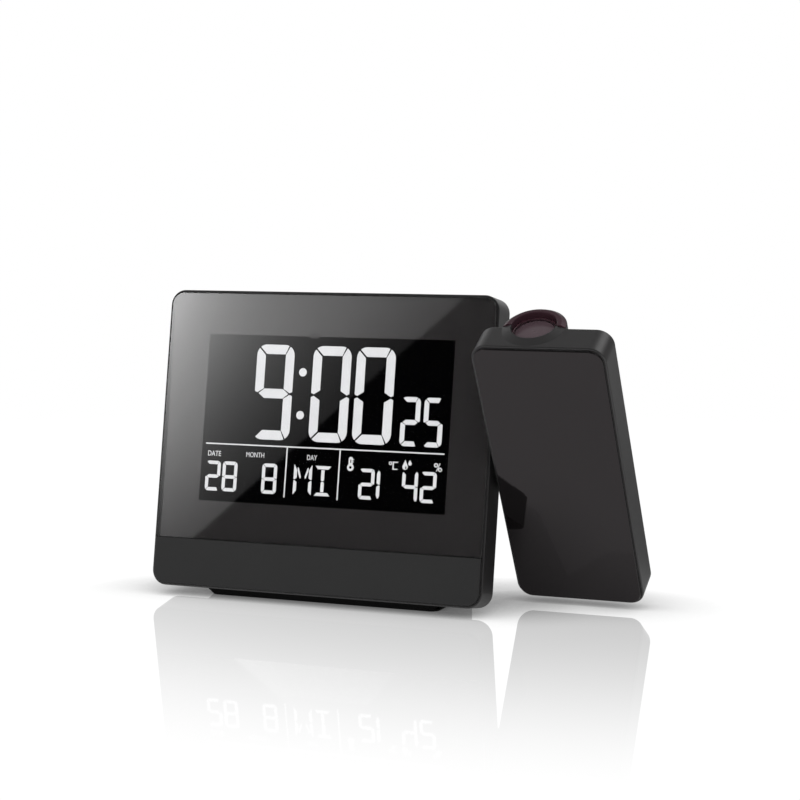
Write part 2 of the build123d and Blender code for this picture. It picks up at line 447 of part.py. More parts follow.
# the collar's insert: a sleeve below the end wall, and the raised rear half of the collar
prof = make_face(Polyline((7.1, 99.0), (9.4, 99.0), (9.4, 105.3), (BORE_R, 105.3), (BORE_R, 100.95), (7.1, 100.95), close=True))
bezel = revolve(Plane.XZ * prof, Axis.Z)
prof = make_face(Polyline((BORE_R, 105.2), (9.4, 105.2), (9.4, 107.2), (10.9, 107.2), (10.75, 107.42), (9.45, 108.3), (9.2, 108.4), (8.0, 108.4), (BORE_R, 108.2), close=True))
bezel += revolve(Plane.XZ * prof, Axis.Z) & bx(-20, 20, 0, 20, 100, 112)
bezel = Pos(BARREL_X, BARREL_D, 0) * bezel
put("lens_bezel", bezel, ARM)
ring = cyl_z(101.0, 106.1, BARREL_X, BARREL_D, 7.66) - cyl_z(100, 107, BARREL_X, BARREL_D, 7.05)
ring = fillet(ShapeList([e for e in ring.edges() if e.center().Z > 106.05]), 0.15)
for k in range(20):
    a = math.radians(18 * k)
    ring -= cyl_z(105.2, 107, BARREL_X + 7.66 * math.cos(a), BARREL_D + 7.66 * math.sin(a), 0.28)
put("focus_ring", ring, ARM)
lb = cyl_z(92, 105.9, BARREL_X, BARREL_D, 6.98) - cyl_z(102.8, 107, BARREL_X, BARREL_D, 6.65) - cyl_z(91, 103, BARREL_X, BARREL_D, 6.0)
put("lens_barrel", lb, ARM)
lens = (cyl_z(102.8, 107, BARREL_X, BARREL_D, 6.63) & (Pos(BARREL_X, BARREL_D, 105.85 - 60) * Sphere(60.0)))
put("projection_lens", lens, ARM)
tube = cyl_z(57.6, 98.6, BARREL_X, BARREL_D, 8.6) - cyl_z(57, 99, BARREL_X, BARREL_D, 7.2)
tube += cyl_z(68.0, 69.0, BARREL_X, BARREL_D, 7.3) - cyl_z(67, 70, BARREL_X, BARREL_D, 5.6)
tube += cyl_z(75.0, 76.0, BARREL_X, BARREL_D, 7.3) - cyl_z(74, 77, BARREL_X, BARREL_D, 5.6)
put("light_tube", tube, ARM)
cond = (cyl_z(69.0, 73.0, BARREL_X, BARREL_D, 7.15) & (Pos(BARREL_X, BARREL_D, 72.6 - 14) * Sphere(14.0)))
put("condenser_lens", cond, ARM)
put("image_lcd", bx(BARREL_X - 4.9, BARREL_X + 4.9, BARREL_D - 4.9, BARREL_D + 4.9, 76.0, 77.6), ARM)
led = cyl_z(57.6, 58.4, BARREL_X, BARREL_D, 2.9) + (cyl_z(58.4, 61, BARREL_X, BARREL_D, 2.5) & (Pos(BARREL_X, BARREL_D, 58.6) * Sphere(2.4)))
put("projector_led", led, ARM)
aboard = bx(BARREL_X - 7, BARREL_X + 7, 5.0, 18.5, 56.4, 57.6)
aboard += bx(77.4, 79.2, HINGE_D - 2.5, HINGE_D + 2.5, HINGE_V, 56.4)
put("projector_board", aboard, ARM)
sink = bx(80.4, 90.0, HINGE_D - 5, HINGE_D + 5, 48.0, 56.4)
for k in range(4):
    sink -= bx(81.6 + 2 * k, 82.7 + 2 * k, HINGE_D - 6, HINGE_D + 6, 47, 54.6)
put("heat_sink", sink, ARM)

cs = None
for x, v in case_posts:
    s = screw(12.35, 5.0, x, v, 2.4, 0.95, 0.8)
    cs = s if cs is None else cs + s
put("case_screws", cs, CLOCK)
ps = None
for x, v in arm_posts:
    s = screw(12.35, 5.0, x, v, 2.1, 0.85, 0.8)
    ps = s if ps is None else ps + s
put("projector_screws", ps, ARM)

# ------------------------------------------------------------------ write the pieces
for name, shape in nodes.items():
    export_step(shape, f"parts/{name}.step")
print("hinge axis y, z:", round(HY, 3), round(HZ, 3), " arm origin:", round(ARM_Y, 3), round(ARM_Z, 3))
print("arm corner to axis:", round(math.hypot(HINGE_V - AV0, HINGE_D - PROUD), 3), " axis height:", round(HZ, 3))
print("slope:", [round(k, 4) for k in (mid[0], mid[1], nx, nz)])
print(len(nodes), "nodes")
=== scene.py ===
import math

import bmesh
import bpy
from mathutils import Matrix, Vector
from mathutils.geometry import tessellate_polygon


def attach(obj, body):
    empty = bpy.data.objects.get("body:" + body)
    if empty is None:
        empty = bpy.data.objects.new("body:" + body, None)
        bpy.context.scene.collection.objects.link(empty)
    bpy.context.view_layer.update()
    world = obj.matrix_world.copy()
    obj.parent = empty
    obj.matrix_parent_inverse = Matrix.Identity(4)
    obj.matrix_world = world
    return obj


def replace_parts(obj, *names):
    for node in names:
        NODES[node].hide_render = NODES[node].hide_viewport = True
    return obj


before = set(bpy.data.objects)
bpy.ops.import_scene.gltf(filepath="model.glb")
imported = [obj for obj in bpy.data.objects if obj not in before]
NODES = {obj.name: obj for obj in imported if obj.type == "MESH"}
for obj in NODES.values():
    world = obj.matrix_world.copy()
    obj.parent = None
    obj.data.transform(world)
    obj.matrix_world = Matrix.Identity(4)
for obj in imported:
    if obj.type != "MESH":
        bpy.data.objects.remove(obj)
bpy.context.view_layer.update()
scene = bpy.context.scene

# ------------------------------------------------------------------ the two tilted frames, in millimetres
LEAN, TILT = math.radians(9.74), math.radians(30.13)
sl, cl, st, ct = math.sin(LEAN), math.cos(LEAN), math.sin(TILT), math.cos(TILT)
FRONT_Y, EDGE_Z = -27.0, 5.0
HINGE_V, HINGE_D = 53.15, 13.74
HY = FRONT_Y + HINGE_V * sl + HINGE_D * cl
HZ = EDGE_Z + HINGE_V * cl - HINGE_D * sl
ARM_Y = HY + HINGE_V * st - HINGE_D * ct
ARM_Z = HZ - HINGE_V * ct - HINGE_D * st
MM = Matrix.Scale(0.001, 4)
CLOCK = MM @ Matrix(((1, 0, 0, 0), (0, cl, sl, FRONT_Y), (0, -sl, cl, EDGE_Z), (0, 0, 0, 1)))
ARM = MM @ Matrix(((1, 0, 0, 0), (0, ct, -st, ARM_Y), (0, st, ct, ARM_Z), (0, 0, 0, 1)))

# ------------------------------------------------------------------ camera
AZ, EL = math.radians(22.17), math.radians(5.45)
BACK = Vector((math.sin(AZ) * math.cos(EL), -math.cos(AZ) * math.cos(EL), math.sin(EL)))
EYE = Vector((34.327, -27.0, 74.877)) + BACK * 689.16
cam = bpy.data.objects.new("camera", bpy.data.cameras.new("camera"))
scene.collection.objects.link(cam)
cam.data.sensor_width, cam.data.lens = 36.0, 90.405
cam.data.clip_start, cam.data.clip_end = 0.02, 20.0
cam.location = EYE / 1000
cam.rotation_mode = "QUATERNION"
cam.rotation_quaternion = (-BACK).to_track_quat("-Z", "Y")
scene.camera = cam
scene.view_settings.view_transform = "Standard"
scene.view_settings.look = "None"


# ------------------------------------------------------------------ materials
def new_material(name):
    m = bpy.data.materials.new(name)
    m.use_nodes = True
    nt = m.node_tree
    nt.nodes.clear()
    out = nt.nodes.new("ShaderNodeOutputMaterial")
    p = nt.nodes.new("ShaderNodeBsdfPrincipled")
    nt.links.new(p.outputs[0], out.inputs[0])
    return m, nt, p


def noise(nt, scale, detail=3.0, rough=0.55, stretch=None):
    tc = nt.nodes.new("ShaderNodeTexCoord")
    n = nt.nodes.new("ShaderNodeTexNoise")
    n.inputs["Scale"].default_value = scale
    n.inputs["Detail"].default_value = detail
    n.inputs["Roughness"].default_value = rough
    if stretch:
        mp = nt.nodes.new("ShaderNodeMapping")
        mp.inputs["Scale"].default_value = stretch
        nt.links.new(tc.outputs["Object"], mp.inputs["Vector"])
        nt.links.new(mp.outputs["Vector"], n.inputs["Vector"])
    else:
        nt.links.new(tc.outputs["Object"], n.inputs["Vector"])
    return n


def ramp(nt, source, stops):
    r = nt.nodes.new("ShaderNodeValToRGB")
    el = r.color_ramp.elements
    while len(el) < len(stops):
        el.new(0.5)
    for e, (pos, c) in zip(el, stops):
        e.position, e.color = pos, (*c, 1.0)
    nt.links.new(source, r.inputs["Fac"])
    return r.outputs["Color"]


def spread(nt, source, lo, hi):
    r = nt.nodes.new("ShaderNodeMapRange")
    r.inputs["From Min"].default_value, r.inputs["From Max"].default_value = 0.3, 0.7
    r.inputs["To Min"].default_value, r.inputs["To Max"].default_value = lo, hi
    nt.links.new(source, r.inputs["Value"])
    return r.outputs["Result"]


def times(c, k):
    return tuple(min(1.0, x * k) for x in c)


def moulded(name, rgb, rough, level=0.5, ior=1.5, var=0.14, rvar=0.05, grain=1500.0, bump=0.00002, strength=0.3, broad=35.0, edge=0.0, **sockets):
    """Moulded plastic or rubber: a fine spark-eroded grain, with slow changes in colour and gloss."""
    m, nt, p = new_material(name)
    fine, slow = noise(nt, grain, 2.0), noise(nt, broad, 4.0)
    mix = nt.nodes.new("ShaderNodeMath")
    mix.operation = "MULTIPLY_ADD"
    nt.links.new(fine.outputs["Fac"], mix.inputs[0])
    mix.inputs[1].default_value = 0.45
    half = nt.nodes.new("ShaderNodeMath")
    half.operation = "MULTIPLY"
    nt.links.new(slow.outputs["Fac"], half.inputs[0])
    half.inputs[1].default_value = 0.55
    nt.links.new(half.outputs[0], mix.inputs[2])
    nt.links.new(ramp(nt, mix.outputs[0], [(0.3, times(rgb, 1 - var)), (0.7, times(rgb, 1 + var))]), p.inputs["Base Color"])
    nt.links.new(spread(nt, slow.outputs["Fac"], rough - rvar, rough + rvar), p.inputs["Roughness"])
    if edge:
        e = nt.nodes.new("ShaderNodeBevel")
        e.samples = 8
        e.inputs["Radius"].default_value = edge
        nt.links.new(e.outputs["Normal"], p.inputs["Normal"])
    if bump:
        b = nt.nodes.new("ShaderNodeBump")
        b.inputs["Strength"].default_value = strength
        b.inputs["Distance"].default_value = bump
        nt.links.new(fine.outputs["Fac"], b.inputs["Height"])
        if edge:
            nt.links.new(e.outputs["Normal"], b.inputs["Normal"])
        nt.links.new(b.outputs["Normal"], p.inputs["Normal"])
    p.inputs["IOR"].default_value = ior
    p.inputs["Specular IOR Level"].default_value = level
    for k, v in sockets.items():
        p.inputs[k.replace("_", " ")].default_value = v
    return m


def metal(name, rgb, rough, stretch=(1, 1, 1), scale=900.0, var=0.1):
    """Plated or turned metal, with fine machining lines."""
    m, nt, p = new_material(name)
    n = noise(nt, scale, 4.0, 0.6, stretch)
    nt.links.new(ramp(nt, n.outputs["Fac"], [(0.3, times(rgb, 1 - var)), (0.7, times(rgb, 1 + var))]), p.inputs["Base Color"])
    nt.links.new(spread(nt, n.outputs["Fac"], rough - 0.06, rough + 0.08), p.inputs["Roughness"])
    b = nt.nodes.new("ShaderNodeBump")
    b.inputs["Strength"].default_value, b.inputs["Distance"].default_value = 0.2, 0.00001
    nt.links.new(n.outputs["Fac"], b.inputs["Height"])
    nt.links.new(b.outputs["Normal"], p.inputs["Normal"])
    p.inputs["Metallic"].default_value = 1.0
    return m


def board(name):
    """Green solder mask with copper tracks faintly raised under it."""
    m, nt, p = new_material(name)
    tc = nt.nodes.new("ShaderNodeTexCoord")
    v = nt.nodes.new("ShaderNodeTexVoronoi")
    v.feature, v.distance = "DISTANCE_TO_EDGE", "EUCLIDEAN"
    v.inputs["Scale"].default_value = 260.0
    nt.links.new(tc.outputs["Object"], v.inputs["Vector"])
    nt.links.new(ramp(nt, v.outputs["Distance"], [(0.0, (0.03, 0.2, 0.09)), (0.07, (0.012, 0.11, 0.05))]), p.inputs["Base Color"])
    b = nt.nodes.new("ShaderNodeBump")
    b.inputs["Strength"].default_value, b.inputs["Distance"].default_value = 0.3, 0.00003
    nt.links.new(v.outputs["Distance"], b.inputs["Height"])
    nt.links.new(b.outputs["Normal"], p.inputs["Normal"])
    p.inputs["Roughness"].default_value = 0.32
    return m


def banded(name, a, b, scale, rough, metallic=0.0, direction="X", bump=0.00006):
    """Wound wire or ribbed rubber: fine even bands."""
    m, nt, p = new_material(name)
    tc = nt.nodes.new("ShaderNodeTexCoord")
    w = nt.nodes.new("ShaderNodeTexWave")
    w.bands_direction = direction
    w.inputs["Scale"].default_value = scale
    w.inputs["Distortion"].default_value = 0.3
    nt.links.new(tc.outputs["Object"], w.inputs["Vector"])
    nt.links.new(ramp(nt, w.outputs["Fac"], [(0.1, a), (0.8, b)]), p.inputs["Base Color"])
    bp = nt.nodes.new("ShaderNodeBump")
    bp.inputs["Strength"].default_value, bp.inputs["Distance"].default_value = 0.6, bump
    nt.links.new(w.outputs["Fac"], bp.inputs["Height"])
    nt.links.new(bp.outputs["Normal"], p.inputs["Normal"])
    p.inputs["Roughness"].default_value = rough
    p.inputs["Metallic"].default_value = metallic
    return m


GREY = lambda g: (g, g, g * 1.01)
M = {
    "case_black": moulded("case_black", (0.0098, 0.0089, 0.0092), 0.4, level=0.68, grain=1700.0, bump=0.00002, strength=0.35, edge=0.0004),
    "satin_black": moulded("satin_black", GREY(0.0145), 0.5, level=0.3, grain=2200.0, bump=0.00001, strength=0.25, rvar=0.03, var=0.08, edge=0.0003),
    "gloss_black": moulded("gloss_black", (0.0026, 0.0022, 0.0023), 0.045, level=0.49, grain=600.0, bump=0.0, rvar=0.012, broad=60.0, edge=0.0003, Specular_Tint=(1.0, 0.91, 0.94, 1.0)),
    "black_film": moulded("black_film", (0.0515, 0.0485, 0.0490), 0.022, level=1.0, ior=1.6, grain=2500.0, bump=0.0, rvar=0.004, var=0.05),
    # the lens collar's maroon base colour and pink specular tint are painted red light, spilled from the projector beam
    # onto black plastic
    "bezel_black": moulded("bezel_black", (0.0260, 0.0105, 0.0148), 0.36, level=0.3, grain=1200.0, bump=0.00001, strength=0.15, edge=0.0003, Specular_Tint=(1.0, 0.76, 0.84, 1.0)),
    "button_black": moulded("button_black", GREY(0.026), 0.45, level=0.4, grain=2600.0, bump=0.00001, strength=0.3),
    # the foot rubber is black, and is set darker than the case as painted shade beneath the case's lower edge
    "foot_rubber": moulded("foot_rubber", GREY(0.006), 0.8, level=0.1, grain=900.0, bump=0.00005, strength=0.5),
    "display_glass": moulded("display_glass", (0.0012, 0.0012, 0.0014), 0.1, level=0.0, grain=4000.0, bump=0.0, rvar=0.02),
    "light_guide": moulded("light_guide", (0.82, 0.85, 0.9), 0.5, grain=800.0, var=0.04),
    "white_frame": moulded("white_frame", (0.76, 0.76, 0.74), 0.5, grain=1200.0, var=0.05),
    "white_acetal": moulded("white_acetal", (0.82, 0.82, 0.79), 0.4, grain=1000.0, var=0.04),
    "silicone": banded("silicone", (0.3, 0.28, 0.27), (0.5, 0.47, 0.44), 900.0, 0.7),
    "circuit_board": board("circuit_board"),
    "component_black": moulded("component_black", GREY(0.018), 0.55, level=0.4, grain=1500.0),
    "cell_jacket": moulded("cell_jacket", (0.3, 0.31, 0.33), 0.35, grain=500.0, var=0.08),
    "plated_spring": metal("plated_spring", (0.72, 0.7, 0.66), 0.25),
    "screw_steel": metal("screw_steel", (0.56, 0.56, 0.57), 0.3),
    "screw_black": metal("screw_black", (0.03, 0.03, 0.032), 0.38, var=0.2),
    "shaft_steel": metal("shaft_steel", (0.55, 0.55, 0.57), 0.28, stretch=(8, 1, 1)),
    "ferrite": moulded("ferrite", GREY(0.06), 0.6, grain=700.0, var=0.3),
    "copper_wire": banded("copper_wire", (0.2, 0.06, 0.02), (0.6, 0.24, 0.09), 1300.0, 0.3, metallic=0.8),
    "cable_jacket": moulded("cable_jacket", GREY(0.03), 0.6, grain=900.0),
    # the focus ring's maroon base colour is painted red light, spilled from the projector beam
    "focus_plastic": moulded("focus_plastic", (0.030, 0.0100, 0.0150), 0.25, level=0.6, grain=1200.0, bump=0.00001, strength=0.15, edge=0.0003),
    # the lens's mauve is partly its own red tint and partly painted red light from the projector beam
    "lens_red": moulded("lens_red", (0.050, 0.033, 0.039), 0.2, level=0.4, ior=1.6, grain=300.0, bump=0.0, rvar=0.03, var=0.1),
    "clear_lens": moulded("clear_lens", (0.6, 0.64, 0.68), 0.06, grain=300.0, bump=0.0, rvar=0.02, Alpha=0.35),
    "sink_aluminium": metal("sink_aluminium", (0.66, 0.66, 0.68), 0.34, stretch=(1, 6, 1)),
}
M["sensor_film"] = moulded("sensor_film", (0.050, 0.0475, 0.0480), 0.022, level=0.6, ior=1.55, grain=2500.0, bump=0.0, rvar=0.004, var=0.05)
# the lens barrel's maroon base colour is painted red light, spilled from the projector beam
M["barrel_plastic"] = moulded("barrel_plastic", (0.020, 0.0085, 0.0120), 0.45, level=0.3, grain=1200.0, bump=0.00001, strength=0.15)
for n, o in NODES.items():
    slot_name = o.material_slots[0].material.name.split(".")[0]
    o.material_slots[0].material = M["barrel_plastic"] if n == "lens_barrel" else M.get(slot_name, o.material_slots[0].material)

# smoked acrylic: one surface carries the gloss and the tint, the far face almost nothing
acrylic, nt, p = new_material("acrylic_front")
tint = noise(nt, 40.0, 3.0)
nt.links.new(ramp(nt, tint.outputs["Fac"], [(0.3, (0.0010, 0.0010, 0.0011)), (0.7, (0.0016, 0.0016, 0.0017))]), p.inputs["Base Color"])
nt.links.new(spread(nt, tint.outputs["Fac"], 0.018, 0.03), p.inputs["Roughness"])
p.inputs["Alpha"].default_value = 0.4
p.inputs["IOR"].default_value = 1.9
p.inputs["Specular IOR Level"].default_value = 1.0
acrylic_back, nt, p = new_material("acrylic_back")
tint = noise(nt, 40.0, 3.0)
nt.links.new(ramp(nt, tint.outputs["Fac"], [(0.3, (0.001, 0.001, 0.001)), (0.7, (0.002, 0.002, 0.002))]), p.inputs["Base Color"])
p.inputs["Roughness"].default_value = 0.3
p.inputs["Alpha"].default_value = 0.02
p.inputs["Specular IOR Level"].default_value = 0.0
# lit segments
lit, nt, p = new_material("lit_segments")
glow = noise(nt, 120.0, 3.0)
nt.links.new(ramp(nt, glow.outputs["Fac"], [(0.3, (0.62, 0.63, 0.66)), (0.7, (0.72, 0.73, 0.75))]), p.inputs["Base Color"])
p.inputs["Roughness"].default_value = 0.6
p.inputs["Specular IOR Level"].default_value = 0.0
p.inputs["Emission Color"].default_value = (1.0, 1.0, 1.0, 1.0)
p.inputs["Emission Strength"].default_value = 0.7
lit_small, nt, p = new_material("lit_small")
glow = noise(nt, 200.0, 3.0)
nt.links.new(ramp(nt, glow.outputs["Fac"], [(0.3, (0.6, 0.61, 0.64)), (0.7, (0.72, 0.73, 0.75))]), p.inputs["Base Color"])
p.inputs["Roughness"].default_value = 0.6
p.inputs["Specular IOR Level"].default_value = 0.0
p.inputs["Emission Color"].default_value = (1.0, 1.0, 1.0, 1.0)
p.inputs["Emission Strength"].default_value = 0.72


# ------------------------------------------------------------------ mesh helpers
def make(name, verts, faces, matrix, body, mats, index=None, smooth=False):
    me = bpy.data.meshes.new(name)
    me.from_pydata([tuple(v) for v in verts], [], faces)
    me.transform(matrix)
    me.validate()
    for m in mats:
        me.materials.append(m)
    if index:
        for f, i in zip(me.polygons, index):
            f.material_index = i
    if smooth:
        for f in me.polygons:
            f.use_smooth = True
    me.update()
    o = bpy.data.objects.new(name, me)
    scene.collection.objects.link(o)
    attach(o, body)
    return o


def area(loop):
    return sum(a[0] * b[1] - b[0] * a[1] for a, b in zip(loop, loop[1:] + loop[:1])) / 2


class Sheet:
    """Gathers thin plates cut to 2-D outlines, with holes, all in one mesh."""

    def __init__(self):
        self.v, self.f = [], []

    def cut(self, outer, holes=(), d0=2.2, d1=2.28):
        loops = [outer if area(outer) > 0 else outer[::-1]] + [h if area(h) < 0 else h[::-1] for h in holes]
        flat = [q for lp in loops for q in lp]
        n = len(flat)
        base = len(self.v)
        self.v += [(u, d0, v) for u, v in flat] + [(u, d1, v) for u, v in flat]
        for t in tessellate_polygon([[Vector((u, v, 0)) for u, v in lp] for lp in loops]):
            a = area([flat[i] for i in t])
            if abs(a) < 1e-9:
                continue
            t = t if a > 0 else t[::-1]
            self.f.append([base + i for i in t])
            self.f.append([base + n + i for i in t[::-1]])
        k = 0
        for lp in loops:
            m = len(lp)
            for i in range(m):
                a, b = base + k + i, base + k + (i + 1) % m
                self.f.append([b, a, a + n, b + n])
            k += m


def arc(cx, cy, r, a0, a1, n=8):
    return [(cx + r * math.cos(math.radians(a0 + (a1 - a0) * i / n)), cy + r * math.sin(math.radians(a0 + (a1 - a0) * i / n))) for i in range(n + 1)]


def circle(cx, cy, r, n=28):
    return arc(cx, cy, r, 0, 360, n)[:-1]


SEGMENTS = {"0": "ABCDEF", "1": "BC", "2": "ABGED", "4": "FGBC", "5": "AFGCD", "8": "ABCDEFG", "9": "ABCDFG"}


def digit(sheet, ch, u0, v0, W, H, t, g):
    """One seven-segment figure. Left mitres are at 45 degrees and right ones steep."""
    ym = 0.486 * H
    R = 1.13 * t
    dl = math.degrees(0.5 * g / R)
    ar = 61.0
    out = {}

    def upper(y):
        return H - y

    for side in ("top", "bottom"):
        flip = (lambda q: q) if side == "top" else (lambda q: (q[0], H - q[1]))
        mid = ym if side == "top" else H - ym
        bar = [(t + 0.75 * g, H - t), (W - t - 0.35 * g, H - t)] + arc(W - R, H - R, R, ar + dl, 90, 5) + arc(R, H - R, R, 90, 135 - dl, 6)
        left = [(t, H - t - 0.75 * g)] + arc(R, H - R, R, 135 + dl, 180, 6) + [(0, mid + 0.17 * t + 0.3 * g), (0.3 * t, mid + 0.5 * g), (t, mid + 0.5 * t + 0.1 * g)]
        right = [(W - t, mid + 0.5 * t + 0.1 * g), (W - 0.3 * t, mid + 0.5 * g), (W, mid + 0.17 * t + 0.3 * g)] + arc(W - R, H - R, R, 0, ar - dl, 8) + [(W - t, H - t - 0.3 * g)]
        names = ("A", "F", "B") if side == "top" else ("D", "E", "C")
        for nme, poly in zip(names, (bar, left, right)):
            out[nme] = [flip(q) for q in poly]
    out["G"] = [(0.4 * t + 0.3 * g, ym), (t + 0.55 * g, ym - 0.5 * t), (W - t - 0.55 * g, ym - 0.5 * t), (W - 0.4 * t - 0.3 * g, ym), (W - t - 0.55 * g, ym + 0.5 * t), (t + 0.55 * g, ym + 0.5 * t)]
    for s in SEGMENTS[ch]:
        sheet.cut([(u0 + x, v0 + y) for x, y in out[s]])


# ------------------------------------------------------------------ what the display shows
big = Sheet()
for ch, u in (("9", -28.05), ("0", -5.72), ("0", 11.2)):
    digit(big, ch, u, 53.7, 14.83, 34.35, 3.42, 0.6)
for u, v in ((-9.5, 78.4), (-9.5, 63.0)):
    big.cut(circle(u, v, 1.5, 36))
for ch, u in (("2", 29.35), ("5", 37.95)):
    digit(big, ch, u, 53.72, 7.2, 17.3, 1.76, 0.3)
make("time_segments", big.v, big.f, CLOCK, "clock", [lit])

small = Sheet()
for ch, u in (("2", -45.65), ("8", -38.87), ("8", -23.0), ("2", 14.92), ("4", 31.36), ("2", 38.27)):
    digit(small, ch, u, 34.3, 5.92, 10.85, 1.24, 0.17)
digit(small, "1", 17.1, 34.6, 5.9, 10.3, 1.24, 0.17)


def strokes(u0, v0, polys):
    for pl in polys:
        small.cut([(u0 + x, v0 + y) for x, y in pl])


H = 10.55
# the two letters of the weekday
for flip in (1, -1):
    q = (lambda x: x) if flip == 1 else (lambda x: 7.1 - x)
    strokes(-10.4, 34.7, [
        [(q(0), H * .49 + .35), (q(0), H), (q(0.18), H), (q(1.2), H - 1.9), (q(1.2), H * .49 + .75), (q(.35), H * .49 + .12)],
        [(q(.35), H * .49 - .12), (q(1.2), H * .49 - .75), (q(1.2), 1.3), (q(0.1), 0), (q(0), 0.1), (q(0), H * .49 - .35)],
        [(q(1.42), H - .9), (q(1.8), H - 1.1), (q(2.75), H - 3.9), (q(2.75), H - 4.75), (q(2.35), H - 4.75), (q(1.42), H - 2.1)],
    ])
strokes(-2.06, 34.6, [
    [(0, H + .1), (6.03, H + .1), (5.1, H - 1.1), (.95, H - 1.1)],
    [(0, 0), (6.03, 0), (5.1, 1.15), (.95, 1.15)],
    [(2.38, H - 1.32), (3.6, H - 1.32), (3.6, H * .49 + .55), (3.25, H * .49 + .12), (2.72, H * .49 + .12), (2.38, H * .49 + .55)],
    [(2.38, 1.37), (3.6, 1.37), (3.6, H * .49 - .55), (3.25, H * .49 - .12), (2.72, H * .49 - .12), (2.38, H * .49 - .55)],
])
# rules
small.cut([(-46.35, 51.18), (46.5, 51.36), (46.5, 51.82), (-46.35, 51.64)])
small.cut([(-13.92, 33.35), (-13.47, 33.35), (-13.42, 51.2), (-13.87, 51.2)])
small.cut([(6.81, 33.5), (7.26, 33.5), (7.28, 51.22), (6.83, 51.22)])
# thermometer
cu, cv = 11.37, 45.3
outer = [(cu + .78, cv + 1.0), (cu + .78, 48.25)] + arc(cu, 48.25, .78, 0, 180, 12)[1:] + [(cu - .78, cv + 1.0)] + arc(cu, cv, 1.27, 127.9, 412.1, 28)[1:-1]
small.cut(outer, [circle(cu, cv, .52, 16), [(cu - .2, cv + 1.55), (cu + .2, cv + 1.55), (cu + .2, 47.9)] + arc(cu, 47.9, .2, 0, 180, 6)[1:]])
small.cut([(cu + .88, 47.95), (cu + 1.3, 47.95), (cu + 1.3, 48.25), (cu + .88, 48.25)])
small.cut([(cu + .88, 47.15), (cu + 1.15, 47.15), (cu + 1.15, 47.45), (cu + .88, 47.45)])
# degrees Celsius
small.cut(circle(26.56, 47.5, .62, 20), [circle(26.56, 47.5, .3, 16)])
small.cut([(27.4, 45.3), (29.3, 45.3), (29.3, 45.68), (27.85, 45.68), (27.85, 47.75), (29.4, 47.75), (29.4, 48.13), (27.4, 48.13)])
# drops
small.cut([(32.12, 48.95)] + arc(32.14, 46.5, 1.02, 142, 398, 24), [[(32.05, 45.85)] + arc(32.3, 46.25, .42, 200, 400, 8) + [(32.35, 46.9)]])
small.cut([(33.82, 48.9)] + arc(33.9, 47.68, .66, 142, 398, 18))
# per cent
small.cut(circle(43.66, 47.6, .76, 20), [circle(43.66, 47.6, .36, 16)])
small.cut(circle(45.22, 46.1, .76, 20), [circle(45.22, 46.1, .36, 16)])
small.cut([(43.68, 45.42), (44.0, 45.42), (45.3, 48.32), (44.98, 48.32)])
make("calendar_segments", small.v, small.f, CLOCK, "clock", [lit_small])


def label(name, text, u0, u1, v0, v1, bold=0.03):
    """A printed word on the display, cut as thin plates."""
    cv = bpy.data.curves.new(name, "FONT")
    cv.body, cv.size, cv.extrude, cv.offset, cv.resolution_u = text, 10.0, 0.1, bold, 3
    tmp = bpy.data.objects.new(name + "_tmp", cv)
    scene.collection.objects.link(tmp)
    bpy.context.view_layer.update()
    me = bpy.data.meshes.new_from_object(tmp.evaluated_get(bpy.context.evaluated_depsgraph_get()))
    bpy.data.objects.remove(tmp)
    xs, ys, zs = ([v.co[i] for v in me.vertices] for i in range(3))
    for v in me.vertices:
        x = (v.co.x - min(xs)) / (max(xs) - min(xs))
        y = (v.co.y - min(ys)) / (max(ys) - min(ys))
        z = (v.co.z - min(zs)) / (max(zs) - min(zs))
        v.co = (u0 + x * (u1 - u0), 2.27 - 0.06 * z, v0 + y * (v1 - v0))
    bm = bmesh.new()
    bm.from_mesh(me)
    bmesh.ops.remove_doubles(bm, verts=bm.verts, dist=1e-4)
    bmesh.ops.recalc_face_normals(bm, faces=bm.faces)
    bm.to_mesh(me)
    bm.free()
    me.transform(CLOCK)
    me.materials.clear()
    me.materials.append(lit_small)
    o = bpy.data.objects.new(name, me)
    scene.collection.objects.link(o)
    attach(o, "clock")
    return o


label("label_date", "DATE", -45.2, -39.95, 46.93, 48.78)
label("label_month", "MONTH", -29.75, -22.6, 47.1, 48.9, -0.01)
label("label_day", "DAY", -5.62, -1.75, 47.15, 48.97)


# ------------------------------------------------------------------ printed film: its margin and the light sensor's window
def outline(x0, x1, v0, v1, low, high):
    return arc(x1 - low, v0 + low, low, -90, 0, 6) + arc(x1 - high, v1 - high, high, 0, 90, 10) + arc(x0 + high, v1 - high, high, 90, 180, 10) + arc(x0 + low, v0 + low, low, 180, 270, 6)


margin = Sheet()
margin.cut(outline(-62.9, 62.9, 16.7, 106.2, 0.2, 4.5), [outline(-62.4, 62.4, 17.0, 105.7, 0.2, 4.0)], 1.975, 1.985)
make("film_margin", margin.v, margin.f, CLOCK, "clock", [M["black_film"]])
sensor = Sheet()
sensor.cut(outline(-7.55, -3.95, 90.65, 92.65, 0.25, 0.25), (), 1.975, 1.985)
make("light_sensor_window", sensor.v, sensor.f, CLOCK, "clock", [M["sensor_film"]])


